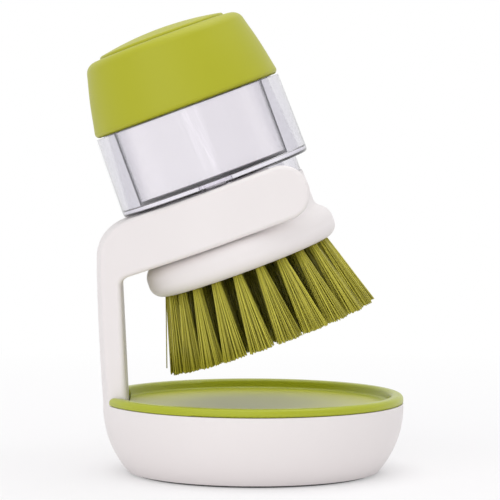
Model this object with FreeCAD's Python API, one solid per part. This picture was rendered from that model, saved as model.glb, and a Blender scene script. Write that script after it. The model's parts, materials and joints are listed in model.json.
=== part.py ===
import FreeCAD, Part
import math
import os
from FreeCAD import Vector

# A soap-dispensing palm brush resting in its stand. Lengths in millimetres, angles in degrees.
# Stand pieces are drawn in the part's own frame: origin under the middle of the base, +Z up,
# the arm on the -X side. Brush pieces are drawn upright about +Z with zero at the joint
# between cap and clear shell, and are then leaned back into the stand.

# Stance of the brush
lean = 20.4
head_gap = 8.52
tip_clearance = 6.23
full_turn = 360.0
smooth_angle = 5.0

# Clearances
cut_overrun = 5.0
slot_clearance = 0.4
rest_gap = 0.3
seat_gap = 0.1
running_gap = 0.3
tray_gap = 0.5

# Bowl of the stand
rim_radius = 50.0
belly_inset = 2.0
corner_inset = 5.1
foot_inset = 8.0
bowl_height = 23.4
belly_height = 10.9
corner_height = 4.7
bowl_wall = 2.6
bowl_floor = 2.6

# Foot ring under the bowl
foot_ring_inset = 1.8
foot_ring_width = 3.6
foot_ring_height = 2.0
foot_stand_off = 0.8

# Arm and fork of the stand
arm_overhang = 2.2
arm_waist_overhang = 1.4
arm_waist_rise = 22.0
arm_shoulder_rise = 43.9
arm_depth = 8.3
arm_half_width = 13.0
arm_splay = 33.0
shoulder_round = 13.0
armpit_round = 3.5
prong_wall = 4.0
prong_setback = 1.4
prong_end_round = 8.6
prong_chamfer = 1.8
stand_edge_round = 1.4

# Drip tray
bead_width = 3.9
bead_height = 2.8
bead_round = 1.5
bead_lower_round = 0.6
tray_recess = 3.0
tray_dish = 1.4
tray_floor = 1.6
tray_wall_slope = 1.0
tray_corner_round = 1.2
tray_skirt_gap = 1.0
tray_skirt_wall = 1.5
tray_skirt_depth = 4.0
tray_notch_wall = 1.6

# Clear shell
shell_radius = 32.5
shell_taper = 0.5
shell_height = 27.3
shell_wall = 2.4
shell_top_wall = 3.7
register_gap = 0.5
register_wall = 1.3
register_height = 1.1
shell_corner_round = 2.4
shell_floor = 2.0
shell_inner_round = 1.2
collar_step = 0.5
collar_length = 5.1
spigot_gap = 0.2
spigot_length = 8.6
spigot_wall = 2.3

# Brush head
neck_step = 3.9
neck_length = 12.2
neck_wall = 2.5
neck_edge_round = 0.5
flare_length = 3.2
flare_round = 3.2
flare_overlap = 0.7
disc_overhang = 4.1
disc_height = 8.5
disc_shoulder_round = 5.2
disc_lower_round = 4.2
tuft_plate = 9.3

# Tufts
bristle_length = 25.2
tuft_margin = 5.8
core_tuft_wall = 2.05
row_steps = 3
tuft_flare_share = 0.227
outer_tuft_count = 22
middle_tuft_count = 18
inner_tuft_count = 12
core_tuft_count = 6
tuft_sides = 6
tuft_radius = 1.7
tuft_tip_gap = 0.78
tuft_hole_gap = 0.1
tuft_hole_depth = 6.0
staple_width = 2.2
staple_thickness = 0.5
staple_height = 1.0

# Soap outlet
outlet_radius = 5.8
outlet_wall = 1.9
boss_wall = 1.6
boss_height = 7.6
seal_width = 2.0
seal_seat_depth = 2.4
outlet_bore = 3.2
valve_chamber = 3.6
valve_flange = 1.4
valve_nose_length = 5.0
valve_nose_tip_radius = 1.5
valve_wall = 0.9
valve_slit = 0.3
retainer_width = 2.0

# Cap
cap_overhang = 0.3
cap_taper = 5.6
cap_crown = 0.45
cap_side_round = 120.0
cap_wall = 2.2
cap_roof = 2.2
cap_foot_round = 1.5
cap_shoulder_round = 4.0
cap_bore_round = 1.5
pump_room = 12.4
roof_rim = 5.0
seat_step = 2.6

# Threaded insert and gasket in the cap
insert_fit = 0.36
insert_skirt_wall = 1.8
insert_plate = 1.8
insert_thread_gap = 0.4
insert_skirt_gap = 0.4
gasket_width = 2.4
gasket_height = 1.0
air_port_radius = 1.0
air_port_ring = 4.2
air_port_count = 6

# Soap cup
mouth_height = 9.0
mouth_wall = 1.9
mouth_step = 0.7
cup_wall = 1.7
cup_floor = 1.8
cup_corner_round = 1.6
cup_flange = 1.2

# Push button
button_proud = 0.9
button_crown = 2.2
button_wall = 1.8
button_edge_round = 0.9
button_flange = 1.6
button_flange_play = 0.7
post_radius = 4.0

# Return spring
spring_wire = 1.0
spring_play = 0.7
spring_turns = 3
spring_wire_sides = 6

# Pump diaphragm and its clamp
diaphragm_flange = 1.2
diaphragm_wall = 1.0
diaphragm_rise = 5.8
dome_round = 4.0
vent_radius = 0.8
clamp_gap = 0.5
clamp_width = 4.0
clamp_height = 2.0
screw_count = 4
screw_radius = 1.0
screw_head_radius = 1.7
screw_head_height = 1.1

# Air valve
air_stem_radius = 1.1
air_flap_radius = 6.2
air_flap = 0.7
air_knob_radius = 1.7
air_knob_height = 0.9
valve_lift = 0.1

# Depths below the parting line, down the brush
shell_bottom = shell_height
neck_top = shell_bottom + collar_length
flare_start = neck_top + neck_length
disc_shoulder = flare_start + flare_length
disc_bottom = disc_shoulder + disc_height
tip_depth = disc_bottom + bristle_length
plate_top = disc_bottom - tuft_plate
boss_top = plate_top - boss_height
seal_seat = boss_top + seal_seat_depth
outlet_end = plate_top - valve_chamber
cup_depth = shell_bottom - shell_floor - seat_gap
fork_top = shell_bottom + rest_gap
fork_bottom = flare_start + flare_overlap
fork_depth = fork_bottom - fork_top

# Radii of the brush, from the shell inwards and outwards
shell_top_radius = shell_radius - shell_taper
neck_radius = shell_radius - neck_step
collar_radius = neck_radius - collar_step
spigot_radius = neck_radius - neck_wall - spigot_gap
disc_radius = neck_radius + disc_overhang
outer_root_ring = disc_radius - tuft_margin
core_root_ring = outlet_bore + core_tuft_wall + tuft_radius
row_pitch = (outer_root_ring - core_root_ring) / row_steps
middle_root_ring = outer_root_ring - row_pitch
inner_root_ring = core_root_ring + row_pitch
tuft_flare = 1 + tuft_flare_share
tuft_tip_radius = row_pitch * tuft_flare / 2 - tuft_tip_gap
slot_radius = neck_radius + slot_clearance
fork_half_width = slot_radius + prong_wall
prong_reach = slot_radius - prong_setback
boss_radius = outlet_radius + slot_clearance
seal_seat_radius = outlet_radius + seal_width + 2 * seat_gap
boss_outer_radius = seal_seat_radius + boss_wall

# Heights above the parting line, up the cap
cup_flange_bottom = register_height + seat_gap
cup_flange_top = cup_flange_bottom + cup_flange
insert_skirt_end = cup_flange_top + insert_skirt_gap
gasket_bottom = mouth_height + seat_gap
insert_plate_bottom = gasket_bottom + gasket_height + seat_gap
insert_seat = insert_plate_bottom + insert_plate
cap_height = insert_seat + pump_room
clamp_bottom = insert_seat + diaphragm_flange
clamp_top = clamp_bottom + clamp_height
dome_top = clamp_bottom + diaphragm_rise
button_top = cap_height + button_proud
button_underside = button_top - button_wall
button_flange_top = cap_height - cap_roof - rest_gap

# Radii of the cap and of what it carries, from the outside inwards
cap_foot_radius = shell_top_radius + cap_overhang
cap_top_radius = cap_foot_radius - cap_taper
cap_slope = cap_taper / (cap_height - rest_gap)
cap_seat_radius = cap_foot_radius - cap_slope * (insert_seat - rest_gap) - cap_wall
insert_outer_radius = cap_seat_radius - insert_fit
insert_skirt_radius = insert_outer_radius - insert_skirt_wall
cap_bore_radius = insert_outer_radius - seat_step
mouth_radius = insert_skirt_radius - insert_thread_gap
cup_radius = mouth_radius + mouth_step
register_radius = cap_foot_radius - cap_wall - register_gap
cup_flange_radius = register_radius - register_gap / 2
button_radius = cap_top_radius - roof_rim
button_hole_radius = button_radius + running_gap
button_flange_radius = cap_bore_radius - button_flange_play
button_inner_radius = button_radius - button_wall
spring_radius = button_inner_radius - spring_play - spring_wire / 2
clamp_outer_radius = spring_radius - spring_wire / 2 - spring_play
clamp_inner_radius = clamp_outer_radius - clamp_width
dome_radius = clamp_inner_radius - clamp_gap

# Sizes of the stand that follow from its own values and from the brush
belly_radius = rim_radius - belly_inset
corner_radius = rim_radius - corner_inset
foot_radius = rim_radius - foot_inset
foot_ring_radius = foot_radius - foot_ring_inset
bowl_bore_radius = rim_radius - bowl_wall
bowl_floor_top = foot_stand_off + bowl_floor
arm_reach = rim_radius + arm_overhang
arm_waist_reach = rim_radius + arm_waist_overhang
arm_waist_height = bowl_height + arm_waist_rise
arm_shoulder_height = bowl_height + arm_shoulder_rise
bead_top = bowl_height + bead_height
bead_inner_radius = rim_radius - bead_width
tray_floor_top = bead_top - tray_recess
tray_floor_bottom = tray_floor_top - tray_floor

# Parting point of the brush: clear of the arm on one side and of the tray below
lean_sine = math.sin(math.radians(lean))
lean_cosine = math.cos(math.radians(lean))
tip_reach = outer_root_ring * tuft_flare + tuft_tip_radius
parting_offset = rim_radius - arm_depth - head_gap - disc_radius * lean_cosine + disc_bottom * lean_sine
parting_height = bead_top + tip_clearance + tip_depth * lean_cosine + tip_reach * lean_sine

# Roundings of the prong ends and of the arm's shoulder, as far as their walls allow
prong_end_fillet = min(prong_end_round, fork_depth / 2 - seat_gap)
prong_front = prong_reach * lean_cosine + fork_top * lean_sine - parting_offset
prong_corner = math.hypot(prong_front, fork_half_width)
prong_rise = math.atan(lean_sine / lean_cosine * prong_front / prong_corner)
shoulder_ledge = arm_reach - prong_corner - stand_edge_round
shoulder_room = shoulder_ledge * math.tan(math.pi / 4 - prong_rise / 2)
shoulder_fillet = min(shoulder_round, shoulder_room)


def flat_xz(across, height):
    """A point of the upright drawing plane."""
    return Vector(across, 0, height)


def flat_xy(across, along):
    """A point of the ground plane."""
    return Vector(across, along, 0)


def rounded_wire(corners, place):
    """Closed wire through (a, b, radius) corners, each rounded by its own radius."""
    points = [place(a, b) for a, b, _ in corners]
    stretches = []
    for index, (_, _, radius) in enumerate(corners):
        corner = points[index]
        back = (points[index - 1] - corner).normalize()
        ahead = (points[(index + 1) % len(points)] - corner).normalize()
        half_angle = back.getAngle(ahead) / 2
        inset = radius / math.tan(half_angle)
        sagitta = radius / math.sin(half_angle) - radius
        middle = corner + (back + ahead).normalize() * sagitta
        stretches.append((corner + back * inset, middle, corner + ahead * inset))
    edges = []
    for index, (start, middle, end) in enumerate(stretches):
        if corners[index][2] > 0:
            edges.append(Part.Arc(start, middle, end).toShape())
        following = stretches[(index + 1) % len(stretches)][0]
        edges.append(Part.LineSegment(end, following).toShape())
    return Part.Wire(edges)


def revolved(corners):
    """Solid turned about +Z from (radius, height, rounding) corners."""
    face = Part.Face(rounded_wire(corners, flat_xz))
    return face.revolve(Vector(), Vector(0, 0, 1), full_turn)


def ring(inner, outer, bottom, top):
    """Plain ring or washer about +Z."""
    return revolved([(inner, bottom, 0), (outer, bottom, 0), (outer, top, 0), (inner, top, 0)])


def spaced(count, radius, height):
    """Points evenly spaced round a circle about +Z."""
    angles = [2 * math.pi * index / count for index in range(count)]
    return [Vector(radius * math.cos(a), radius * math.sin(a), height) for a in angles]


def lean_back(shape):
    """Bring a brush piece from its upright drawing into the stand."""
    placed = shape.copy()
    placed.rotate(Vector(), Vector(0, 1, 0), -lean)
    placed.translate(Vector(-parting_offset, 0, parting_height))
    return placed


def in_stand(across, depth):
    """Side-view point of the stand at a place across the brush and a depth below its parting line."""
    x = -parting_offset + across * lean_cosine + depth * lean_sine
    z = parting_height + across * lean_sine - depth * lean_cosine
    return x, z


def crossing(a, b, c, d):
    """Where the side-view line through a and b meets the line through c and d."""
    run_x, run_z = b[0] - a[0], b[1] - a[1]
    other_x, other_z = d[0] - c[0], d[1] - c[1]
    along = ((c[0] - a[0]) * other_z - (c[1] - a[1]) * other_x) / (run_x * other_z - run_z * other_x)
    return a[0] + along * run_x, a[1] + along * run_z


def bowl_curve(inset, bottom):
    """Curved wall of the bowl in side view, moved inwards by a wall and raised to a floor."""
    stretch = (bowl_height - bottom) / (bowl_height - foot_stand_off)
    knots = [(foot_radius, foot_stand_off), (corner_radius, corner_height),
             (belly_radius, belly_height), (rim_radius, bowl_height)]
    curve = Part.BSplineCurve()
    curve.interpolate([flat_xz(r - inset, bottom + (z - foot_stand_off) * stretch) for r, z in knots])
    return curve


def bowl_solid(inset, bottom):
    """Everything inside the bowl's wall, turned about +Z."""
    wall = bowl_curve(inset, bottom).toShape()
    low, high = wall.Vertexes[0].Point, wall.Vertexes[-1].Point
    rest = Part.makePolygon([high, flat_xz(0, high.z), flat_xz(0, low.z), low])
    face = Part.Face(Part.Wire([wall] + rest.Edges))
    return face.revolve(Vector(), Vector(0, 0, 1), full_turn)


def arm_plan(gap):
    """Corners of the arm and fork seen from above, grown by a gap."""
    splay = math.radians(arm_splay)
    half = fork_half_width + gap
    outer_x = -(arm_reach + cut_overrun)
    edge_shift = gap / math.cos(splay)
    outer_y = arm_half_width + edge_shift + (outer_x + rim_radius) * math.tan(splay)
    knee_x = -rim_radius + (half - arm_half_width - edge_shift) / math.tan(splay)
    front_x = in_stand(prong_reach + cut_overrun, fork_bottom)[0]
    return [(front_x, -half, 0), (front_x, half, 0), (knee_x, half, half), (outer_x, outer_y, 0),
            (outer_x, -outer_y, 0), (knee_x, -half, half)]


def arm_inner_line():
    """Two side-view points on the inner face of the arm."""
    low = (-(rim_radius - arm_depth), bowl_height)
    high = (-(arm_reach - arm_depth), arm_shoulder_height)
    return low, high


def arm_prism():
    """The arm and fork, square at the shoulder and at the prong ends, from the bowl's floor upwards."""
    plan = Part.Face(rounded_wire(arm_plan(0), flat_xy)).extrude(Vector(0, 0, parting_height))
    low, high = arm_inner_line()
    far = -(arm_reach + 2 * cut_overrun)
    above = fork_top - cut_overrun
    top_left = crossing(in_stand(0, above), in_stand(prong_reach, above), (far, 0), (far, bowl_height))
    armpit = crossing(low, high, in_stand(0, fork_bottom), in_stand(prong_reach, fork_bottom))
    inner_foot = crossing(low, high, (-rim_radius, foot_stand_off), (0, foot_stand_off))
    side = rounded_wire([
        (*top_left, 0), (far, foot_stand_off, 0), (*inner_foot, 0), (*armpit, armpit_round),
        (*in_stand(prong_reach, fork_bottom), 0), (*in_stand(prong_reach, above), 0)], flat_xz)
    width = fork_half_width + cut_overrun
    slab = Part.Face(side).extrude(Vector(0, 2 * width, 0))
    slab.translate(Vector(0, -width, 0))
    return plan.common(slab)


def arm_envelope():
    """Outer surface of the arm, turned so that it runs flush into the bowl, under the fork's top."""
    back = Part.Arc(flat_xz(rim_radius, bowl_height), flat_xz(arm_waist_reach, arm_waist_height),
                    flat_xz(arm_reach, arm_shoulder_height)).toShape()
    rest = Part.makePolygon([
        flat_xz(arm_reach, arm_shoulder_height), flat_xz(arm_reach, 2 * parting_height),
        flat_xz(0, 2 * parting_height), flat_xz(0, bowl_height), flat_xz(rim_radius, bowl_height)])
    face = Part.Face(Part.Wire([back] + rest.Edges))
    drum = face.revolve(Vector(), Vector(0, 0, 1), full_turn)
    span = 2 * parting_height
    above = Part.makeBox(2 * span, 2 * span, span, Vector(-span, -span, -fork_top))
    drum = drum.cut(lean_back(above))
    brim = [e for e in drum.Edges if e.BoundBox.XLength > arm_reach and e.BoundBox.ZLength > fork_depth
            and e.BoundBox.YLength > arm_reach]
    return drum.makeFillet(shoulder_fillet, brim)


def slot_wire(radius, depth):
    """Outline of the fork's slot at a depth below the parting line, open towards +X."""
    front = prong_reach + cut_overrun
    start, end = Vector(0, radius, -depth), Vector(0, -radius, -depth)
    front_end, front_start = Vector(front, -radius, -depth), Vector(front, radius, -depth)
    half_round = Part.Arc(start, Vector(-radius, 0, -depth), end).toShape()
    return Part.Wire([half_round] + Part.makePolygon([end, front_end, front_start, start]).Edges)


def fork_slot():
    """Slot for the brush's neck, with its lower edge eased for the flare of the brush head."""
    above, below = fork_top - cut_overrun, fork_bottom + cut_overrun
    slot = Part.Face(slot_wire(slot_radius, above)).extrude(Vector(0, 0, above - below))
    lower = slot_wire(slot_radius + prong_chamfer + cut_overrun, below)
    upper = slot_wire(slot_radius, fork_bottom - prong_chamfer)
    return lean_back(slot.fuse(Part.makeLoft([upper, lower], True, True)))


def is_sharp(shape, edge):
    """Whether two faces of a shape meet at an angle along an edge."""
    middle = edge.valueAt((edge.FirstParameter + edge.LastParameter) / 2)
    faces = shape.ancestorsOfType(edge, Part.Face)
    normals = [face.normalAt(*face.Surface.parameter(middle)) for face in faces]
    return len(normals) == 2 and normals[0].getAngle(normals[1]) > math.radians(smooth_angle)


def prong_end_edges(shape):
    """Upper and lower edges across the ends of the prongs, before the slot parts them."""
    front = in_stand(prong_reach, fork_top)[0] - cut_overrun
    return [e for e in shape.Edges if e.BoundBox.XMin > front and e.BoundBox.YLength > fork_half_width]


def outline_edges(shape):
    """Edges that bound the two side faces of the arm and fork, above the bowl."""
    return [e for e in shape.Edges if e.BoundBox.YMin * e.BoundBox.YMax > 0
            and e.BoundBox.ZMax > bowl_height + seat_gap and is_sharp(shape, e)]


def stand_body():
    """Bowl, arm and fork of the stand: one moulding."""
    prism = arm_prism()
    bowl = bowl_solid(0, foot_stand_off)
    bowl = bowl.cut(bowl_solid(bowl_wall, bowl_floor_top).cut(prism))
    groove_inner = foot_ring_radius - foot_ring_width - seat_gap
    groove_top = foot_ring_height + seat_gap
    bowl = bowl.cut(ring(groove_inner, foot_ring_radius + seat_gap, 0, groove_top))
    arm = prism.common(arm_envelope())
    arm = arm.makeFillet(prong_end_fillet, prong_end_edges(arm))
    arm = arm.makeFillet(stand_edge_round, outline_edges(arm))
    arm = arm.cut(fork_slot())
    return bowl.fuse(arm).removeSplitter()


def foot_ring():
    """Soft ring that keeps the stand from sliding."""
    return ring(foot_ring_radius - foot_ring_width, foot_ring_radius, 0, foot_ring_height)


def arm_notch(gap):
    """Room for the arm in the tray, grown by a gap on every side."""
    low, _ = arm_inner_line()
    inner_x = low[0] + gap
    reach = Part.Face(rounded_wire(arm_plan(gap), flat_xy)).extrude(Vector(0, 0, parting_height))
    depth = arm_reach + cut_overrun + inner_x + cut_overrun
    block = Part.makeBox(depth, 2 * rim_radius, parting_height, Vector(inner_x - depth, -rim_radius, 0))
    return reach.common(block)


def drip_tray():
    """Shallow lift-out dish with a rolled bead, notched round the arm and walled off from it."""
    skirt_radius = bowl_bore_radius - tray_skirt_gap
    skirt_bottom = bowl_height - tray_skirt_depth
    wall_foot = bead_inner_radius - tray_wall_slope
    seat = bowl_height + seat_gap
    tray = revolved([
        (0, tray_floor_top - tray_dish, 0), (wall_foot, tray_floor_top, tray_corner_round),
        (bead_inner_radius, bead_top, bead_round), (rim_radius, bead_top, bead_round),
        (rim_radius, seat, bead_lower_round), (skirt_radius, seat, 0), (skirt_radius, skirt_bottom, 0),
        (skirt_radius - tray_skirt_wall, skirt_bottom, 0),
        (skirt_radius - tray_skirt_wall, tray_floor_bottom, 0), (0, tray_floor_bottom - tray_dish, 0)])
    kerb = ring(0, skirt_radius, skirt_bottom, tray_floor_top)
    kerb = kerb.common(arm_notch(tray_gap + tray_notch_wall))
    return tray.fuse(kerb).cut(arm_notch(tray_gap)).removeSplitter()


def tuft_places(count, root_ring):
    """Placement of each tuft of a row: its root on the face, its axis along the bristles."""
    roots = spaced(count, root_ring, -disc_bottom)
    tips = spaced(count, root_ring * tuft_flare, -tip_depth)
    upright = Vector(0, 0, 1)
    return [FreeCAD.Placement(r, FreeCAD.Rotation(upright, t - r)) for r, t in zip(roots, tips)]


def flat_face(corners):
    """Flat face through its corners."""
    return Part.Face(Part.makePolygon(corners + corners[:1]))


def bundle(sections):
    """Packed bundle of bristles: few flat sides through (radius, height) sections."""
    rings = [spaced(tuft_sides, radius, height) for radius, height in sections]
    faces = [flat_face(rings[0]), flat_face(rings[-1])]
    for low, high in zip(rings, rings[1:]):
        for side in range(tuft_sides):
            faces.append(flat_face([low[side - 1], low[side], high[side], high[side - 1]]))
    return Part.Solid(Part.Shell(faces))


def placed_copies(shape, places):
    """A copy of a shape at each placement."""
    copies = []
    for place in places:
        copy = shape.copy()
        copy.Placement = place
        copies.append(copy)
    return copies


def tuft_row(places):
    """Tufts that fan out from their holes and are trimmed flat together at the tips."""
    length = tip_depth - disc_bottom + cut_overrun
    tip_radius = tuft_radius + (tuft_tip_radius - tuft_radius) * length / (length - cut_overrun)
    root = -(tuft_hole_depth - staple_height)
    tuft = bundle([(tuft_radius, root), (tuft_radius, 0), (tip_radius, length)])
    span = 2 * disc_radius
    trim = Part.makeBox(2 * span, 2 * span, span, Vector(-span, -span, -tip_depth - span))
    return Part.makeCompound([t.cut(trim) for t in placed_copies(tuft, places)])


def tuft_holes(places):
    """Holes that the tufts are set in."""
    radius = tuft_radius + tuft_hole_gap
    return placed_copies(bundle([(radius, -tuft_hole_depth), (radius, cut_overrun)]), places)


def tuft_staples(places):
    """Wire staples at the bottom of the holes."""
    corner = Vector(-staple_width / 2, -staple_thickness / 2, -tuft_hole_depth)
    staple = Part.makeBox(staple_width, staple_thickness, staple_height, corner)
    return Part.makeCompound(placed_copies(staple, places))


def brush_head(places):
    """Neck, flared disc and soap boss of the brush head, drilled for its tufts."""
    neck_bore = neck_radius - neck_wall
    head = revolved([
        (neck_radius, -neck_top, neck_edge_round), (neck_radius, -flare_start, flare_round),
        (disc_radius, -disc_shoulder, disc_shoulder_round), (disc_radius, -disc_bottom, disc_lower_round),
        (outlet_bore, -disc_bottom, 0), (outlet_bore, -plate_top, 0), (boss_radius, -plate_top, 0),
        (boss_radius, -seal_seat, 0), (seal_seat_radius, -seal_seat, 0), (seal_seat_radius, -boss_top, 0),
        (boss_outer_radius, -boss_top, 0), (boss_outer_radius, -plate_top, 0),
        (neck_bore, -plate_top, 0), (neck_bore, -neck_top, 0)])
    return head.cut(tuft_holes(places))


def outlet_valve():
    """Soft slit valve: a flange held in the boss and a nose that opens under pressure."""
    flange_radius = boss_radius - seat_gap
    nose_radius = outlet_bore - running_gap
    bore = nose_radius - valve_wall
    tip = plate_top + valve_nose_length
    valve = revolved([
        (0, -tip, 0), (valve_nose_tip_radius, -tip, 0), (nose_radius, -plate_top, 0),
        (flange_radius, -plate_top, 0), (flange_radius, valve_flange - plate_top, 0),
        (bore, valve_flange - plate_top, 0), (valve_nose_tip_radius - valve_wall, valve_wall - tip, 0),
        (0, valve_wall - tip, 0)])
    slit = Part.makeBox(valve_nose_tip_radius, valve_slit, 2 * valve_wall)
    slit.translate(Vector(-valve_nose_tip_radius / 2, -valve_slit / 2, -tip - valve_wall))
    return valve.cut(slit)


def valve_retainer():
    """Ring that presses the valve's flange on its seat."""
    outer = boss_radius - seat_gap
    return ring(outer - retainer_width, outer, valve_flange - plate_top, -outlet_end - seat_gap)


def outlet_seal():
    """Square-section seal between the cup's outlet and the boss."""
    inner = outlet_radius + seat_gap
    return ring(inner, inner + seal_width, -seal_seat, seal_width - seal_seat)


def clear_shell():
    """Clear outer wall and floor of the reservoir, a register ring above, collar and spigot below."""
    inner_top = shell_top_radius - shell_top_wall
    inner_bottom = shell_radius - shell_wall
    floor = shell_bottom - shell_floor
    collar_end = neck_top - seat_gap
    spigot_end = neck_top + spigot_length
    spigot_bore = spigot_radius - spigot_wall
    outlet_hole = outlet_radius + slot_clearance
    return revolved([
        (register_radius, register_height, 0), (register_radius, 0, 0), (shell_top_radius, 0, 0),
        (shell_radius, -shell_bottom, shell_corner_round), (collar_radius, -shell_bottom, 0),
        (collar_radius, -collar_end, 0), (spigot_radius, -collar_end, 0), (spigot_radius, -spigot_end, 0),
        (spigot_bore, -spigot_end, 0), (spigot_bore, -shell_bottom, 0), (outlet_hole, -shell_bottom, 0),
        (outlet_hole, -floor, 0), (inner_bottom, -floor, shell_inner_round),
        (inner_top, 0, 0), (register_radius - register_wall, register_height, 0)])


def soap_cup():
    """Clear inner cup with its threaded mouth, hanging by a flange, and its outlet tube."""
    bore = cup_radius - cup_wall
    floor = cup_depth - cup_floor
    mouth_bore = mouth_radius - mouth_wall
    outlet_inner = outlet_radius - outlet_wall
    return revolved([
        (outlet_inner, -outlet_end, 0), (outlet_radius, -outlet_end, 0), (outlet_radius, -cup_depth, 0),
        (cup_radius, -cup_depth, cup_corner_round), (cup_radius, cup_flange_bottom, 0),
        (cup_flange_radius, cup_flange_bottom, 0), (cup_flange_radius, cup_flange_top, 0),
        (mouth_radius, cup_flange_top, 0), (mouth_radius, mouth_height, 0), (mouth_bore, mouth_height, 0),
        (mouth_bore, cup_flange_top, 0), (bore, cup_flange_bottom, 0), (bore, -floor, cup_corner_round),
        (outlet_inner, -floor, 0)])


def cap_gasket():
    """Flat washer between the cup's mouth and the cap's plate."""
    outer = insert_skirt_radius - seat_gap
    return ring(outer - gasket_width, outer, gasket_bottom, gasket_bottom + gasket_height)


def cap_shell():
    """Tapered, slightly bellied cap with a hole for the button and a step that the insert seats on."""
    roof = cap_height - cap_roof
    side_radius = (cap_foot_radius + cap_top_radius) / 2 + cap_crown
    side_height = (rest_gap + cap_height) / 2
    return revolved([
        (cap_foot_radius, rest_gap, cap_foot_round), (side_radius, side_height, cap_side_round),
        (cap_top_radius, cap_height, cap_shoulder_round),
        (button_hole_radius, cap_height, 0), (button_hole_radius, roof, 0),
        (cap_bore_radius, roof, cap_bore_round), (cap_bore_radius, insert_seat, 0),
        (cap_seat_radius, insert_seat, 0), (cap_foot_radius - cap_wall, rest_gap, 0)])


def drilled(shape, points, radius, depth):
    """A shape with upright holes of one radius at the given lowest points."""
    return shape.cut([Part.makeCylinder(radius, depth, point) for point in points])


def screw_points(height):
    """Places of the clamp screws at a height."""
    return spaced(screw_count, (clamp_inner_radius + clamp_outer_radius) / 2, height)


def cap_insert():
    """Plate and threaded skirt inside the cap, with air ports and screw holes."""
    insert = revolved([
        (insert_skirt_radius, insert_skirt_end, 0), (insert_outer_radius, insert_skirt_end, 0),
        (insert_outer_radius, insert_seat, 0), (air_stem_radius, insert_seat, 0),
        (air_stem_radius, insert_plate_bottom, 0), (insert_skirt_radius, insert_plate_bottom, 0)])
    ports = spaced(air_port_count, air_port_ring, insert_plate_bottom)
    insert = drilled(insert, ports, air_port_radius, insert_plate)
    return drilled(insert, screw_points(insert_plate_bottom), screw_radius, insert_plate)


def pump_diaphragm():
    """Soft dome that the button presses, vented at its crown and clamped at its flange."""
    inner_crown = dome_top - diaphragm_wall
    inner_radius = dome_radius - diaphragm_wall
    dome = revolved([
        (clamp_outer_radius, insert_seat, 0), (clamp_outer_radius, clamp_bottom, 0),
        (dome_radius, clamp_bottom, 0), (dome_radius, dome_top, dome_round), (vent_radius, dome_top, 0),
        (vent_radius, inner_crown, 0), (inner_radius, inner_crown, dome_round - diaphragm_wall),
        (inner_radius, insert_seat, 0)])
    return drilled(dome, screw_points(insert_seat), screw_radius + seat_gap, diaphragm_flange)


def diaphragm_clamp():
    """Ring that screws the diaphragm down."""
    clamp = ring(clamp_inner_radius, clamp_outer_radius, clamp_bottom, clamp_top)
    return drilled(clamp, screw_points(clamp_bottom), screw_radius + seat_gap, clamp_height)


def clamp_screws():
    """Pan-head screws through the clamp into the insert's plate."""
    screw = revolved([
        (0, insert_plate_bottom, 0), (screw_radius, insert_plate_bottom, 0), (screw_radius, clamp_top, 0),
        (screw_head_radius, clamp_top, 0), (screw_head_radius, clamp_top + screw_head_height, 0),
        (0, clamp_top + screw_head_height, 0)])
    places = [FreeCAD.Placement(point, FreeCAD.Rotation()) for point in screw_points(0)]
    return Part.makeCompound(placed_copies(screw, places))


def arc_from(start, heading, end):
    """Arc that leaves a point along a heading and ends at another point."""
    chord = end - start
    along = Vector(chord).normalize()
    bulge = heading - along * heading.dot(along)
    sagitta = chord.Length / 2 * math.tan(heading.getAngle(chord) / 2)
    return Part.Arc(start, (start + end) / 2 + bulge.normalize() * sagitta, end).toShape()


def biarc(start, heading, end, end_heading):
    """Two arcs that join two points and follow the heading at each."""
    chord = end - start
    sum_heading = heading + end_heading
    spread = 2 * (1 - heading.dot(end_heading))
    lean_in = chord.dot(sum_heading)
    reach = (math.sqrt(lean_in ** 2 + spread * chord.dot(chord)) - lean_in) / spread
    meet = (start + heading * reach + end - end_heading * reach) / 2
    arriving = arc_from(end, end_heading * -1, meet)
    arriving.reverse()
    return [arc_from(start, heading, meet), arriving]


def return_spring():
    """Coil under the button, wound as half turns of one wire."""
    bottom = insert_seat + seat_gap + spring_wire / 2
    rise = button_underside - seat_gap - spring_wire / 2 - bottom
    steps = 2 * spring_turns
    climb = rise / (2 * math.pi * spring_turns)
    knots, headings = [], []
    for step in range(steps + 1):
        angle = math.pi * step
        across, along = spring_radius * math.cos(angle), spring_radius * math.sin(angle)
        knots.append(Vector(across, along, bottom + climb * angle))
        run = Vector(-along, across, climb)
        headings.append(run.normalize())
    arcs = []
    for step in range(steps):
        arcs += biarc(knots[step], headings[step], knots[step + 1], headings[step + 1])
    rim = spaced(spring_wire_sides, spring_wire / 2, 0)
    section = Part.makePolygon(rim + rim[:1])
    section.Placement = FreeCAD.Placement(knots[0], FreeCAD.Rotation(Vector(0, 0, 1), headings[0]))
    print("return spring: least gap between turns", round(rise / spring_turns - spring_wire, 2), "mm")
    return Part.Wire(arcs).makePipeShell([section], True, False)


def air_valve():
    """Umbrella valve in the middle of the plate: its flap covers the air ports from below."""
    flap_top = insert_plate_bottom - valve_lift
    stem = air_stem_radius - valve_lift
    knob_bottom = insert_seat + valve_lift
    flap_bottom = flap_top - air_flap
    return revolved([
        (0, flap_bottom, 0), (air_flap_radius, flap_bottom, 0), (air_flap_radius, flap_top, 0),
        (stem, flap_top, 0), (stem, knob_bottom, 0), (air_knob_radius, knob_bottom, 0),
        (air_knob_radius, knob_bottom + air_knob_height, 0), (0, knob_bottom + air_knob_height, 0)])


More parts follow.
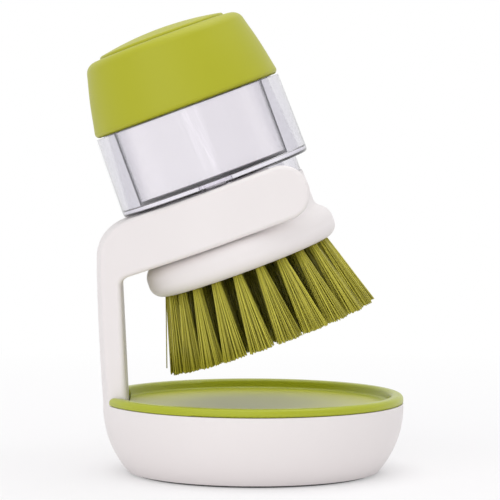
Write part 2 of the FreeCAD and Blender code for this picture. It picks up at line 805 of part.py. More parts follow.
def push_button():
    """Domed button with a retaining flange below the cap's roof and a post over the diaphragm."""
    flange_bottom = button_flange_top - button_flange
    crown = button_top + button_crown
    body = revolved([
        (0, flange_bottom, 0), (button_flange_radius, flange_bottom, 0),
        (button_flange_radius, button_flange_top, 0), (button_radius, button_flange_top, 0),
        (button_radius, crown, 0), (0, crown, 0)])
    dome_sphere = (button_radius ** 2 + button_crown ** 2) / (2 * button_crown)
    body = body.common(Part.makeSphere(dome_sphere, Vector(0, 0, crown - dome_sphere)))
    edge = [e for e in body.Edges if abs(e.BoundBox.ZMin - button_top) < seat_gap
            and e.BoundBox.ZLength < seat_gap and e.BoundBox.XLength > button_radius]
    body = body.makeFillet(button_edge_round, edge)
    post_end = dome_top + rest_gap
    return body.cut(ring(post_radius, button_inner_radius, flange_bottom, button_underside)).cut(
        ring(0, button_inner_radius, flange_bottom, post_end))


rows = {
    "outer_tufts": tuft_places(outer_tuft_count, outer_root_ring),
    "middle_tufts": tuft_places(middle_tuft_count, middle_root_ring),
    "inner_tufts": tuft_places(inner_tuft_count, inner_root_ring)
    + tuft_places(core_tuft_count, core_root_ring),
}
all_tuft_places = sum(rows.values(), [])

stand_pieces = {"stand_body": stand_body(), "foot_ring": foot_ring(), "drip_tray": drip_tray()}
brush_pieces = {
    "brush_head": brush_head(all_tuft_places),
    "tuft_staples": tuft_staples(all_tuft_places),
    "outlet_valve": outlet_valve(),
    "valve_retainer": valve_retainer(),
    "outlet_seal": outlet_seal(),
    "clear_shell": clear_shell(),
    "soap_cup": soap_cup(),
    "cap_gasket": cap_gasket(),
    "cap_shell": cap_shell(),
    "cap_insert": cap_insert(),
    "pump_diaphragm": pump_diaphragm(),
    "diaphragm_clamp": diaphragm_clamp(),
    "clamp_screws": clamp_screws(),
    "return_spring": return_spring(),
    "air_valve": air_valve(),
    "push_button": push_button(),
}
brush_pieces.update({name: tuft_row(places) for name, places in rows.items()})

pieces = dict(stand_pieces)
pieces.update({name: lean_back(shape) for name, shape in brush_pieces.items()})
os.makedirs("parts", exist_ok=True)
for name, shape in pieces.items():
    shape.exportStep(f"parts/{name}.step")
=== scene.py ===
import json
import math
import random

import bmesh
import bpy
from mathutils import Matrix, Vector


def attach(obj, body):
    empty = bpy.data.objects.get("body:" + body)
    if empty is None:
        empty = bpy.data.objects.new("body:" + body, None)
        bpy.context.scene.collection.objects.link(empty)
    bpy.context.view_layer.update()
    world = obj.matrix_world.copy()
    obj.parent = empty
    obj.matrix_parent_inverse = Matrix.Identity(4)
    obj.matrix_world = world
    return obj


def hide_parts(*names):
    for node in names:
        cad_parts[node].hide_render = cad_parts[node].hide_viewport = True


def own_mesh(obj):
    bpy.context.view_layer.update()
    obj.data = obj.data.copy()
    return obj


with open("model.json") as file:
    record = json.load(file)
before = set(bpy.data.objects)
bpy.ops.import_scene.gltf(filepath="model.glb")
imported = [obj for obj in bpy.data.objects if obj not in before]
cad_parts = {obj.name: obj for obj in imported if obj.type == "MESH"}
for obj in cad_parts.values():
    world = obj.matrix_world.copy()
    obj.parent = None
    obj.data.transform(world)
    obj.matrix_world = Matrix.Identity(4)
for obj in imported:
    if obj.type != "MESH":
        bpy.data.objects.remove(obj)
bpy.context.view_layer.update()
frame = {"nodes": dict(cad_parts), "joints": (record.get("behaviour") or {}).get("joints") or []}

nodes = frame["nodes"]
joints = {joint["name"]: joint for joint in frame["joints"]}
mm = 0.001

# Camera at the photograph's angle
camera_place = Vector((-0.026602, -0.881123, 0.120139))
camera_azimuth = math.radians(-1.647)
camera_pitch = math.radians(2.997)
camera_roll = math.radians(0.183)
camera_sensor = 36.0
camera_lens = 190.98
camera_near = 0.05

# Brush frame: across the fork, sideways, and up the brush, from the parting of cap and shell
brush_across = Vector(joints["brush_draw"]["axis"])
brush_up = Vector(joints["cap_twist"]["axis"])
brush_side = brush_up.cross(brush_across)
brush_origin = Vector(joints["cap_twist"]["pos_m"])
brush_matrix = Matrix((brush_across, brush_side, brush_up)).transposed().to_4x4()
brush_matrix.translation = brush_origin
stand_matrix = Matrix.Identity(4)

# Smoothness of turned pieces
turn_steps = 288
arc_steps = 8
crease_angle = math.radians(32.0)

# Clear shell: radii, and heights above the parting
shell_radius = 32.5 * mm
shell_top_radius = 32.0 * mm
shell_bottom = -27.3 * mm
shell_corner_round = 1.2 * mm
shell_inner_top = 28.3 * mm
shell_inner_bottom = 30.1 * mm
shell_inner_round = 0.5 * mm
shell_floor_top = -25.3 * mm
register_outer = 29.6 * mm
register_inner = shell_inner_top
register_top = 1.1 * mm
collar_radius = 28.1 * mm
collar_end = -32.3 * mm
spigot_outer = 25.9 * mm
spigot_inner = 23.6 * mm
spigot_end = -41.0 * mm
outlet_hole = 6.2 * mm

# Soap cup
cup_radius = 26.0 * mm
cup_wall = 0.45 * mm
cup_bore = cup_radius - cup_wall
cup_bottom = -25.2 * mm
cup_floor_top = -24.1 * mm
cup_floor_middle = -24.9 * mm
cup_round = 0.4 * mm
flange_radius = 29.35 * mm
flange_bottom = 1.2 * mm
flange_top = 2.4 * mm
mouth_radius = 24.82 * mm
mouth_bore = 22.92 * mm
mouth_top = 9.0 * mm
mouth_round = 0.4 * mm
outlet_outer = 5.8 * mm
outlet_inner = 3.9 * mm
outlet_end = -43.4 * mm

# Thread on the cup's mouth
thread_lead = 6.0 * mm
thread_starts = 2
thread_pitch = thread_lead / thread_starts
thread_half_width = 0.75 * mm
thread_depth = 0.3 * mm
thread_rows = 30

# Pump under the button: spring coil and soft dome
spring_radius = 18.7 * mm
spring_wire = 0.5 * mm
spring_seat = 12.1 * mm
spring_bottom = spring_seat + spring_wire
spring_top = 22.9 * mm
spring_turns = 3
spring_turn_steps = 48
spring_wire_sides = 12
dome_flange_radius = 17.5 * mm
dome_flange_bottom = 12.0 * mm
dome_flange_top = 13.2 * mm
dome_radius = 13.0 * mm
dome_wall = 1.0 * mm
dome_top = 19.0 * mm
dome_round = 4.0 * mm
dome_vent = 0.8 * mm

# Drip tray's floor, and the foot ring under the bowl
tray_floor_radius = 44.0 * mm
foot_outer = 40.2 * mm
foot_inner = 36.6 * mm
foot_top = 2.0 * mm
foot_round = 0.6 * mm

# Bristles, in the brush frame: depths below the parting, radii of a tuft at root and tip
root_depth = 56.3 * mm
hole_depth = 3.0 * mm
tip_depth = 81.4 * mm
root_radius = 1.6 * mm
tip_radius = 3.3 * mm
tip_side_radius = 4.6 * mm
tuft_flare = 1.227
bristle_radius = 0.2 * mm
bristle_seed = 7
bristles_per_tuft = 84
bristle_sides = 5
bristle_steps = 4
bristle_sway = 0.10 * mm

# Scatter of the filaments: trim, turn in radians, least share of the fan, and share of the hole they fill
trim_scatter = 0.18 * mm
turn_scatter = 0.25
least_fan = 0.86
hole_fill = 0.88

# Rows of tufts: how many, and the radius at their roots
tuft_rows = {
    "outer_tufts": [(22, 26.9 * mm)],
    "middle_tufts": [(18, 20.25 * mm)],
    "inner_tufts": [(12, 13.6 * mm), (6, 6.95 * mm)],
}

# One stray filament at the left, in the brush frame
stray_start = Vector((-28.45 * mm, 0.0, -root_depth))
stray_end = Vector((-36.6 * mm, 0.0, -79.2 * mm))


class Value:
    """A socket that takes part in Python expressions: arithmetic adds Math nodes."""

    def __init__(self, graph, socket):
        self.graph = graph
        self.socket = socket

    def math(self, operation, first, second):
        sockets = {0: first, 1: second}
        return self.graph.add("ShaderNodeMath", {"operation": operation}, sockets)["Value"]

    def __add__(self, other):
        return self.math("ADD", self, other)

    def __radd__(self, other):
        return self.math("ADD", other, self)

    def __mul__(self, other):
        return self.math("MULTIPLY", self, other)

    def __rmul__(self, other):
        return self.math("MULTIPLY", other, self)

    def __truediv__(self, other):
        return self.math("DIVIDE", self, other)

    def __or__(self, other):
        return self.math("MAXIMUM", self, other)


class Added:
    """A node that was added, whose outputs are read by name or number."""

    def __init__(self, graph, node):
        self.graph = graph
        self.node = node

    def __getitem__(self, key):
        return Value(self.graph, self.node.outputs[key])


class Graph:
    """A node tree that is written from scratch."""

    def __init__(self, tree):
        self.tree = tree
        tree.nodes.clear()

    def add(self, kind, settings, sockets):
        node = self.tree.nodes.new(kind)
        for name, value in settings.items():
            if name == "stops":
                self.set_stops(node.color_ramp, value)
            else:
                setattr(node, name, value)
        for key, value in sockets.items():
            if isinstance(value, Value):
                self.tree.links.new(value.socket, node.inputs[key])
            else:
                node.inputs[key].default_value = value
        return Added(self, node)

    def set_stops(self, ramp, stops):
        while len(ramp.elements) < len(stops):
            ramp.elements.new(1.0)
        for element, (position, level) in zip(ramp.elements, stops):
            element.position = position
            element.color = (level, level, level, 1.0)

    def mix(self, factor, first, second):
        """Colour between two colours, through the numbered colour sockets of the Mix node."""
        sockets = {0: factor, 6: first, 7: second}
        return self.add("ShaderNodeMix", {"data_type": "RGBA"}, sockets)[2]

    def place(self):
        """Place on the object, in metres."""
        return self.add("ShaderNodeTexCoord", {}, {})["Object"]

    def stretched(self, scale):
        """Place on the object, with each axis drawn out or flattened."""
        return self.add("ShaderNodeMapping", {}, {"Vector": self.place(), "Scale": scale})["Vector"]

    def reach(self, place):
        """Distance of a place from the middle."""
        return self.add("ShaderNodeVectorMath", {"operation": "LENGTH"}, {0: place})["Value"]

    def noise(self, scale, detail=3.0, place=None, roughness=0.5):
        """Cloudy noise at a number of features per metre."""
        place = place or self.place()
        sockets = {"Vector": place, "Scale": scale, "Detail": detail, "Roughness": roughness}
        return self.add("ShaderNodeTexNoise", {}, sockets)["Fac"]

    def ramp(self, value, stops):
        return self.add("ShaderNodeValToRGB", {"stops": stops}, {"Fac": value})["Color"]

    def bump(self, height, strength, distance):
        sockets = {"Height": height, "Strength": strength, "Distance": distance}
        return self.add("ShaderNodeBump", {}, sockets)["Normal"]

    def principled(self, sockets):
        return self.add("ShaderNodeBsdfPrincipled", {}, sockets)["BSDF"]

    def blend(self, factor, first, second):
        """Shader between two shaders."""
        return self.add("ShaderNodeMixShader", {}, {0: factor, 1: first, 2: second})["Shader"]

    def glow(self, kind, tone, strength):
        """Light of its own, from a surface or the world."""
        return self.add(kind, {}, {"Color": tone, "Strength": strength})[0]

    def output(self, ends):
        self.add("ShaderNodeOutputMaterial", {}, ends)


def new_finish(name):
    """Empty material and the graph to write it in."""
    material = bpy.data.materials.new(name)
    material.use_nodes = True
    return material, Graph(material.node_tree)


def colour(red, green, blue):
    return (red, green, blue, 1.0)


def moulded_plastic(name, body, shade, roughness, handling=0.07, painted_floor_light=None):
    """Satin moulded plastic: flow marks in the colour and a spark-eroded grain. With a floor tone, the
    tray's floor is painted paler: painted light, for light that falls on it."""
    material, graph = new_finish(name)
    flow = graph.noise(18.0, detail=4.0)
    speckle = graph.noise(900.0, detail=2.0)
    grain_height = graph.noise(2600.0, detail=2.0) + 0.6 * graph.noise(900.0, detail=1.0)
    smudge = graph.ramp(graph.noise(42.0, detail=5.0, roughness=0.6), [(0.35, 0.0), (0.75, 1.0)])
    tone = graph.mix(0.75 * flow + 0.25 * speckle, body, shade)
    # Painted light: the floor of the tray is made paler, standing in for the light that falls on it.
    if painted_floor_light:
        share = graph.reach(graph.stretched((1.0, 1.0, 0.0))) / tray_floor_radius
        on_floor = graph.ramp(share, [(0.92, 1.0), (1.0, 0.0)])
        tone = graph.mix(on_floor, tone, painted_floor_light)
    graph.output({"Surface": graph.principled({
        "Base Color": tone,
        "Roughness": roughness + handling * smudge,
        "Normal": graph.bump(grain_height, strength=0.06, distance=0.05 * mm),
        "IOR": 1.5,
        "Specular IOR Level": 0.4,
    })})
    return material


def clear_plastic(name, painted_edge_shade, painted_edge_stops, painted_line_stops=None):
    """Polished clear plastic with hairline scratches and lamps shining through. Seen edge-on its tint
    deepens, a painted shade, and a thin wall ends in a painted dark line."""
    material, graph = new_finish(name)
    drawn = graph.stretched((1.0, 1.0, 0.08))
    hairline = graph.ramp(graph.noise(1400.0, detail=2.0, place=drawn), [(0.62, 0.0), (0.72, 1.0)])
    handled = graph.ramp(graph.noise(60.0, detail=4.0), [(0.45, 0.0), (0.8, 1.0)])
    # Painted shade: the tint darkens where the surface is seen edge-on.
    facing = graph.add("ShaderNodeLayerWeight", {}, {"Blend": 0.5})["Facing"]
    edge = graph.ramp(facing, painted_edge_stops)
    glass = graph.principled({
        "Base Color": graph.mix(edge, colour(0.965, 0.955, 0.97), painted_edge_shade),
        "Roughness": 0.01 + 0.03 * hairline * handled,
        "IOR": 1.49,
        "Transmission Weight": 1.0,
    })
    # Painted shade: a dark shader at the wall's silhouette draws a dark line.
    if painted_line_stops:
        line = graph.principled({
            "Base Color": colour(0.035, 0.03, 0.05), "Roughness": 0.4, "Specular IOR Level": 0.1})
        glass = graph.blend(graph.ramp(facing, painted_line_stops), glass, line)
    through = graph.add("ShaderNodeBsdfTransparent", {}, {"Color": colour(0.96, 0.955, 0.97)})["BSDF"]
    shadow = graph.add("ShaderNodeLightPath", {}, {})["Is Shadow Ray"]
    inside = {"Color": colour(0.68, 0.62, 0.80), "Density": 6.0}
    tint = graph.add("ShaderNodeVolumeAbsorption", {}, inside)["Volume"]
    graph.output({"Surface": graph.blend(shadow, glass, through), "Volume": tint})
    return material


def bristle_nylon(name, dark, light):
    """Olive nylon filament: each one a little lighter or darker, with faint bands along it."""
    material, graph = new_finish(name)
    each = graph.add("ShaderNodeNewGeometry", {}, {})["Random Per Island"]
    along = graph.noise(260.0, detail=2.0)
    tone = graph.mix(0.8 * each + 0.2 * along, dark, light)
    graph.output({"Surface": graph.principled({
        "Base Color": tone,
        "Roughness": 0.34 + 0.15 * along,
        "Normal": graph.bump(graph.noise(5200.0, detail=1.0), strength=0.08, distance=0.02 * mm),
        "IOR": 1.53,
        "Specular IOR Level": 0.35,
    })})
    return material


def silicone(name, body):
    """Milky soft rubber with a dusty bloom."""
    material, graph = new_finish(name)
    bloom = graph.noise(120.0, detail=5.0)
    graph.output({"Surface": graph.principled({
        "Base Color": graph.mix(bloom, body, colour(0.86, 0.86, 0.84)),
        "Roughness": 0.42 + 0.2 * bloom,
        "Normal": graph.bump(graph.noise(1500.0, detail=2.0), strength=0.05, distance=0.05 * mm),
        "Subsurface Weight": 0.3,
        "Subsurface Radius": (1.0, 0.95, 0.9),
        "Subsurface Scale": 1.5 * mm,
    })})
    return material


def grey_rubber(name):
    """Soft grey foot: matt, with a fine pebbled skin."""
    material, graph = new_finish(name)
    pebble = graph.noise(1800.0)
    graph.output({"Surface": graph.principled({
        "Base Color": graph.mix(pebble, colour(0.10, 0.10, 0.10), colour(0.16, 0.16, 0.155)),
        "Roughness": 0.62 + 0.15 * pebble,
        "Normal": graph.bump(pebble, strength=0.2, distance=0.08 * mm),
    })})
    return material


def steel_wire(name):
    """Drawn stainless wire: bright, with fine draw lines."""
    material, graph = new_finish(name)
    lines = graph.noise(4200.0, place=graph.stretched((0.15, 0.15, 1.0)))
    graph.output({"Surface": graph.principled({
        "Base Color": graph.mix(lines, colour(0.50, 0.50, 0.50), colour(0.68, 0.68, 0.67)),
        "Metallic": 1.0,
        "Roughness": 0.18 + 0.16 * lines,
        "Normal": graph.bump(lines, strength=0.06, distance=0.02 * mm),
    })})
    return material


def new_piece(name, points, faces, material, smooth=True):
    """Mesh object from points in the shared frame."""
    mesh = bpy.data.meshes.new(name)
    mesh.from_pydata(points, [], faces)
    mesh.polygons.foreach_set("use_smooth", [smooth] * len(mesh.polygons))
    mesh.materials.append(material)
    mesh.update()
    piece = bpy.data.objects.new(name, mesh)
    bpy.context.scene.collection.objects.link(piece)
    return piece


def rounded_outline(corners):
    """Closed outline through (radius, height, rounding) corners, each rounded by its own arc."""
    outline = []
    for index, (radius, height, rounding) in enumerate(corners):
        corner = Vector((radius, height))
        if rounding == 0:
            outline.append(corner)
            continue
        back = (Vector(corners[index - 1][:2]) - corner).normalized()
        ahead = (Vector(corners[(index + 1) % len(corners)][:2]) - corner).normalized()
        half_angle = back.angle(ahead) / 2
        centre = corner + (back + ahead).normalized() * rounding / math.sin(half_angle)
        first = corner + back * rounding / math.tan(half_angle) - centre
        last = corner + ahead * rounding / math.tan(half_angle) - centre
        sweep = first.angle(last)
        for step in range(arc_steps + 1):
            share = step / arc_steps
            spoke = first * math.sin((1 - share) * sweep) + last * math.sin(share * sweep)
            outline.append(centre + spoke / math.sin(sweep))
    return outline


def lathe(name, outline, material, matrix, swell=None):
    """Piece turned from a closed outline of (radius, height) points; a swell may add to the radius."""
    points, faces = [], []
    count = len(outline)
    for step in range(turn_steps):
        turn = 2 * math.pi * step / turn_steps
        for radius, height in outline:
            full = radius + (swell(turn, radius, height) if swell else 0.0)
            points.append(matrix @ Vector((full * math.cos(turn), full * math.sin(turn), height)))
        here, there = step * count, (step + 1) % turn_steps * count
        for index in range(count):
            following = (index + 1) % count
            faces.append((here + index, here + following, there + following, there + index))
    piece = new_piece(name, points, faces, material)
    shape = bmesh.new()
    shape.from_mesh(piece.data)
    bmesh.ops.recalc_face_normals(shape, faces=shape.faces)
    shape.to_mesh(piece.data)
    shape.free()
    piece.data.set_sharp_from_angle(angle=crease_angle)
    return piece


def stands_for(piece, node, body):
    """The piece rides on a body and is shown in place of a node."""
    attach(piece, body)
    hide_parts(node)


def thread_swell(turn, radius, height):
    """Two-start thread round the outside of the cup's mouth."""
    if radius < mouth_radius - mouth_round or height < flange_top + thread_half_width:
        return 0.0
    climb = height - thread_lead * turn / (2 * math.pi)
    offset = (climb + thread_pitch / 2) % thread_pitch - thread_pitch / 2
    rise = max(0.0, 1.0 - (offset / thread_half_width) ** 2)
    run_out = min(1.0, max(0.0, (mouth_top - mouth_round - height) / thread_half_width))
    return thread_depth * rise * run_out


def clear_shell(material):
    """Outer wall of the reservoir, polished and round."""
    outline = rounded_outline([
        (register_outer, register_top, 0), (register_outer, 0, 0), (shell_top_radius, 0, 0),
        (shell_radius, shell_bottom, shell_corner_round), (collar_radius, shell_bottom, 0),
        (collar_radius, collar_end, 0), (spigot_outer, collar_end, 0), (spigot_outer, spigot_end, 0),
        (spigot_inner, spigot_end, 0), (spigot_inner, shell_bottom, 0), (outlet_hole, shell_bottom, 0),
        (outlet_hole, shell_floor_top, 0),
        (shell_inner_bottom, shell_floor_top, shell_inner_round), (shell_inner_top, 0, 0),
        (register_inner, register_top, 0)])
    piece = lathe("clear_shell_wall", outline, material, brush_matrix)
    stands_for(piece, "clear_shell", "brush")


def soap_cup(material):
    """Inner cup with its flange, threaded mouth and outlet."""
    climb = (mouth_top - mouth_round - flange_top) / thread_rows
    mouth_wall = [(mouth_radius, flange_top + climb * row, 0) for row in range(thread_rows)]
    outline = rounded_outline([
        (outlet_inner, outlet_end, 0), (outlet_outer, outlet_end, 0), (outlet_outer, cup_bottom, 0),
        (cup_radius, cup_bottom, cup_round), (cup_radius, flange_bottom, 0),
        (flange_radius, flange_bottom, 0), (flange_radius, flange_top, 0)] + mouth_wall + [
        (mouth_radius, mouth_top, mouth_round), (mouth_bore, mouth_top, mouth_round),
        (mouth_bore, flange_top, 0), (cup_bore, flange_bottom, 0), (cup_bore, cup_floor_top, cup_round),
        (outlet_inner, cup_floor_middle, 0)])
    piece = lathe("soap_cup_wall", outline, material, brush_matrix, thread_swell)
    stands_for(piece, "soap_cup", "brush")


def pump_dome(material):
    """Soft dome under the button and the flange that stays clamped. The dome is built at rest with a
    mesh of its own; the real one gives way.
    """
    flange = rounded_outline([
        (dome_radius - dome_wall, dome_flange_bottom, 0), (dome_flange_radius, dome_flange_bottom, 0),
        (dome_flange_radius, dome_flange_top, 0), (dome_radius - dome_wall, dome_flange_top, 0)])
    clamped = lathe("dome_flange", flange, material, brush_matrix)
    stands_for(clamped, "pump_diaphragm", "cap")
    crown = rounded_outline([
        (dome_radius, dome_flange_top, 0), (dome_radius, dome_top, dome_round),
        (dome_vent, dome_top, 0), (dome_vent, dome_top - dome_wall, 0),
        (dome_radius - dome_wall, dome_top - dome_wall, dome_round - dome_wall),
        (dome_radius - dome_wall, dome_flange_top, 0)])
    dome = lathe("pump_dome", crown, material, brush_matrix)
    stands_for(dome, "pump_diaphragm", "cap")
    foot = brush_matrix @ Vector((0.0, 0.0, dome_flange_top))
    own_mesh(dome)


def foot_ring(material):
    """Soft ring under the bowl, with rounded edges."""
    outline = rounded_outline([
        (foot_inner, 0, foot_round), (foot_outer, 0, foot_round), (foot_outer, foot_top, 0),
        (foot_inner, foot_top, 0)])
    piece = lathe("soft_foot", outline, material, stand_matrix)
    stands_for(piece, "foot_ring", "stand")


def close_rod(faces, first, rings, sides):
    """Faces of a closed rod whose rings of points start at a number."""
    for ring in range(rings - 1):
        low, high = first + ring * sides, first + (ring + 1) * sides
        for side in range(sides):
            following = (side + 1) % sides
            faces.append((low + side, low + following, high + following, high + side))
    last = first + (rings - 1) * sides
    faces.append(tuple(reversed(range(first, first + sides))))
    faces.append(tuple(range(last, last + sides)))


def return_spring(material):
    """Coil of round wire, built at rest with a mesh of its own; the real coil shortens as the button goes
    down.
    """
    points, faces = [], []
    steps = spring_turns * spring_turn_steps
    climb = (spring_top - spring_bottom) / (2 * math.pi * spring_turns)
    for step in range(steps + 1):
        angle = 2 * math.pi * step / spring_turn_steps
        outward = Vector((math.cos(angle), math.sin(angle), 0.0))
        onward = Vector((-math.sin(angle), math.cos(angle), climb / spring_radius)).normalized()
        beside = onward.cross(outward)
        middle = outward * spring_radius + Vector((0.0, 0.0, spring_bottom + climb * angle))
        for side in range(spring_wire_sides):
            turn = 2 * math.pi * side / spring_wire_sides
            rim = spring_wire * (math.cos(turn) * outward + math.sin(turn) * beside)
            points.append(brush_matrix @ (middle + rim))
    close_rod(faces, 0, steps + 1, spring_wire_sides)
    spring = new_piece("spring_coil", points, faces, material)
    stands_for(spring, "return_spring", "cap")
    seat = brush_matrix @ Vector((0.0, 0.0, spring_seat))
    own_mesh(spring)


def add_filament(points, faces, line):
    """One thin closed filament along a line of points, added to a mesh under way."""
    first = len(points)
    heading = (line[-1] - line[0]).normalized()
    across = heading.orthogonal().normalized()
    beside = heading.cross(across)
    for place in line:
        for side in range(bristle_sides):
            angle = 2 * math.pi * side / bristle_sides
            rim = bristle_radius * (math.cos(angle) * across + math.sin(angle) * beside)
            points.append(place + rim)
    close_rod(faces, first, len(line), bristle_sides)


def bristle_line(start, end, sway):
    """Line of one filament from its hole to its tip, bending a little on the way."""
    line = []
    for step in range(bristle_steps):
        share = step / (bristle_steps - 1)
        line.append(brush_matrix @ (start.lerp(end, share) + sway * math.sin(math.pi * share)))
    return line


def tuft(points, faces, draw, turn, root_ring):
    """One tuft: filaments packed in the hole that fan out to the trimmed tips."""
    outward = Vector((math.cos(turn), math.sin(turn), 0.0))
    sideways = Vector((-math.sin(turn), math.cos(turn), 0.0))
    root = outward * root_ring + Vector((0.0, 0.0, -root_depth))
    tip = outward * root_ring * tuft_flare + Vector((0.0, 0.0, -tip_depth))
    golden_turn = math.pi * (3.0 - math.sqrt(5.0))
    for index in range(bristles_per_tuft):
        reach = math.sqrt((index + 0.5) / bristles_per_tuft)
        angle = golden_turn * index + draw.uniform(-turn_scatter, turn_scatter)
        out, side = reach * math.cos(angle), reach * math.sin(angle)
        fan = outward * tip_radius * out + sideways * tip_side_radius * side
        end = tip + fan * draw.uniform(least_fan, 1.0)
        end.z += draw.uniform(-trim_scatter, trim_scatter)
        start = root + (outward * out + sideways * side) * root_radius * hole_fill
        start = start + (start - end).normalized() * hole_depth
        sway = (outward * draw.gauss(0.0, 1.0) + sideways * draw.gauss(0.0, 1.0)) * bristle_sway
        add_filament(points, faces, bristle_line(start, end, sway))


def bristles(front_material, shaded_material):
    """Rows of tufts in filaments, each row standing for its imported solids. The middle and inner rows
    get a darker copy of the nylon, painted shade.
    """
    draw = random.Random(bristle_seed)
    for node, rings in tuft_rows.items():
        points, faces = [], []
        # Painted shade: the middle and inner rows take the darker nylon.
        material = shaded_material
        if node == "outer_tufts":
            material = front_material
            add_filament(points, faces, bristle_line(stray_start, stray_end, Vector()))
        for count, root_ring in rings:
            for index in range(count):
                tuft(points, faces, draw, 2 * math.pi * index / count, root_ring)
        piece = new_piece(node.replace("tufts", "bristles"), points, faces, material)
        stands_for(piece, node, "brush")


def finish_nodes(finishes):
    """Each node of the frame gets its finish."""
    for material, names in finishes.items():
        for name in names:
            nodes[name].data.materials.clear()
            nodes[name].data.materials.append(material)


def studio_world():
    """White backdrop. Clear plastic and gloss see a room that is dimmer on the camera's side."""
    ambient_strength = 0.67
    world = bpy.data.worlds.new("white_room")
    world.use_nodes = True
    bpy.context.scene.world = world
    graph = Graph(world.node_tree)
    heading = graph.add("ShaderNodeTexCoord", {}, {})["Generated"]
    parts = graph.add("ShaderNodeSeparateXYZ", {}, {"Vector": heading})
    behind = graph.ramp(0.5 * parts["Y"] + 0.5, [(0.30, 0.0), (0.46, 1.0)])
    room = graph.mix(behind, colour(0.40, 0.39, 0.41), colour(1.0, 1.0, 1.0))
    path = graph.add("ShaderNodeLightPath", {}, {})
    seen = path["Is Glossy Ray"] | path["Is Transmission Ray"]
    ambient = graph.glow("ShaderNodeBackground", colour(0.97, 0.98, 1.0), ambient_strength)
    mirrored = graph.glow("ShaderNodeBackground", room, 1.0)
    backdrop = graph.glow("ShaderNodeBackground", colour(1.0, 1.0, 1.0), 1.0)
    shown = graph.blend(path["Is Camera Ray"], graph.blend(seen, ambient, mirrored), backdrop)
    graph.add("ShaderNodeOutputWorld", {}, {"Surface": shown})


def studio_floor():
    """Plain white floor with a soft shadow round the base, which runs out into the white backdrop."""
    half = 6.0
    near_glow, fade_start, fade_end = 0.36, 0.10, 0.45
    material, graph = new_finish("floor_paper")
    path = graph.add("ShaderNodeLightPath", {}, {})
    seen = path["Is Camera Ray"] | path["Is Glossy Ray"] | path["Is Transmission Ray"]
    away = graph.ramp(graph.reach(graph.place()), [(fade_start, near_glow), (fade_end, 1.0)])
    paper = graph.add("ShaderNodeBsdfDiffuse", {}, {"Color": colour(0.89, 0.875, 0.88)})["BSDF"]
    white_glow = graph.glow("ShaderNodeEmission", colour(1.0, 1.0, 1.0), 1.0)
    graph.output({"Surface": graph.blend(seen * away, paper, white_glow)})
    corners = [(-half, -half, 0.0), (half, -half, 0.0), (half, half, 0.0), (-half, half, 0.0)]
    floor = new_piece("floor", corners, [(0, 1, 2, 3)], material, smooth=False)


def softbox(name, place, aim, width, height, power):
    """Large soft lamp that points at a place."""
    lamp = bpy.data.lights.new(name, "AREA")
    lamp.shape = "RECTANGLE"
    lamp.size = width
    lamp.size_y = height
    lamp.energy = power
    box = bpy.data.objects.new(name, lamp)
    box.location = place
    box.rotation_euler = (Vector(aim) - Vector(place)).to_track_quat("-Z", "Y").to_euler()
    bpy.context.scene.collection.objects.link(box)


def studio_light():
    """Key from the front left, a low light under it, fill from the right, and a broad top light."""
    aim = (0.0, 0.0, 0.08)
    softbox("key_light", (-0.75, -1.2, 0.90), aim, width=1.8, height=1.8, power=6.0)
    softbox("low_light", (-0.45, -1.35, 0.36), aim, width=1.6, height=0.6, power=1.9)
    softbox("fill_light", (0.9, -1.0, 0.25), aim, width=1.6, height=1.6, power=1.6)
    softbox("top_light", (0.1, 0.05, 1.3), aim, width=1.3, height=1.3, power=7.5)


def photo_camera():
    """Camera at the photograph's place, aim and lens."""
    right = Vector((math.cos(camera_azimuth), math.sin(camera_azimuth), 0.0))
    level = Vector((-math.sin(camera_azimuth), math.cos(camera_azimuth), 0.0))
    ahead = level * math.cos(camera_pitch) - Vector((0.0, 0.0, math.sin(camera_pitch)))
    up = right.cross(ahead)
    rolled_right = right * math.cos(camera_roll) + up * math.sin(camera_roll)
    rolled_up = up * math.cos(camera_roll) - right * math.sin(camera_roll)
    lens = bpy.data.cameras.new("photo_camera")
    lens.sensor_width = camera_sensor
    lens.lens = camera_lens
    lens.clip_start = camera_near
    camera = bpy.data.objects.new("photo_camera", lens)
    camera.matrix_world = Matrix((rolled_right, rolled_up, -ahead)).transposed().to_4x4()
    camera.location = camera_place
    bpy.context.scene.collection.objects.link(camera)
    bpy.context.scene.camera = camera


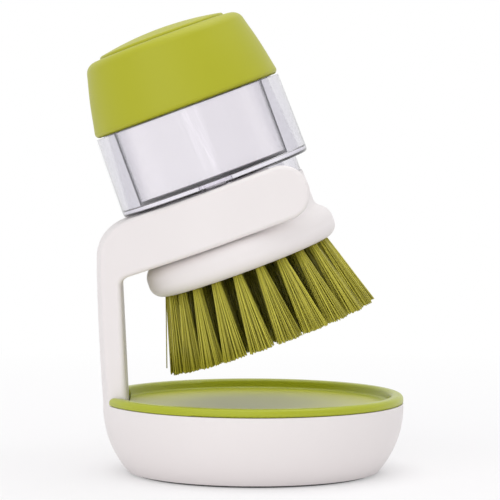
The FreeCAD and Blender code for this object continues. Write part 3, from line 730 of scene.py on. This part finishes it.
white = moulded_plastic(
    "white_moulding", colour(0.83, 0.785, 0.775), colour(0.80, 0.755, 0.745), roughness=0.42)
cap_green = moulded_plastic(
    "cap_green", colour(0.42, 0.425, 0.012), colour(0.395, 0.40, 0.01), roughness=0.42)
# The tray's floor gets a paler tone, painted light.
tray_green = moulded_plastic(
    "tray_green", colour(0.405, 0.445, 0.018), colour(0.38, 0.415, 0.015), roughness=0.30,
    handling=0.02, painted_floor_light=colour(0.58, 0.585, 0.05))
# Painted shade: each clear wall's tint darkens where it is seen edge-on, and the cup's wall gets a dark
# line.
shell_painted_edge = [(0.28, 0.0), (0.40, 0.62), (0.50, 0.68), (0.60, 1.0)]
shell_clear = clear_plastic("shell_plastic", colour(0.58, 0.57, 0.63), shell_painted_edge)
cup_painted_edge = [(0.45, 0.0), (0.77, 0.10), (0.79, 1.0)]
cup_painted_line = [(0.775, 0.0), (0.79, 1.0)]
cup_clear = clear_plastic("cup_plastic", colour(0.4, 0.4, 0.43), cup_painted_edge, cup_painted_line)
soft = silicone("milky_silicone", colour(0.70, 0.70, 0.68))
steel = steel_wire("steel_wire")
finish_nodes({
    white: ("stand_body", "brush_head", "cap_insert", "valve_retainer", "diaphragm_clamp"),
    cap_green: ("cap_shell", "push_button"),
    tray_green: ("drip_tray",),
    soft: ("cap_gasket", "outlet_seal", "outlet_valve", "air_valve"),
    steel: ("clamp_screws", "tuft_staples"),
})
clear_shell(shell_clear)
soap_cup(cup_clear)
pump_dome(soft)
return_spring(steel)
foot_ring(grey_rubber("grey_foot"))
front_nylon = bristle_nylon("front_nylon", colour(0.25, 0.225, 0.02), colour(0.66, 0.61, 0.075))
# Painted shade: the middle and inner rows' nylon is a darker copy of the front nylon.
shaded_inner_nylon = bristle_nylon("shaded_inner_nylon", colour(0.11, 0.10, 0.006), colour(0.30, 0.28, 0.02))
bristles(front_nylon, shaded_inner_nylon)
studio_world()
studio_floor()
studio_light()
photo_camera()
bpy.context.scene.view_settings.view_transform = "Standard"
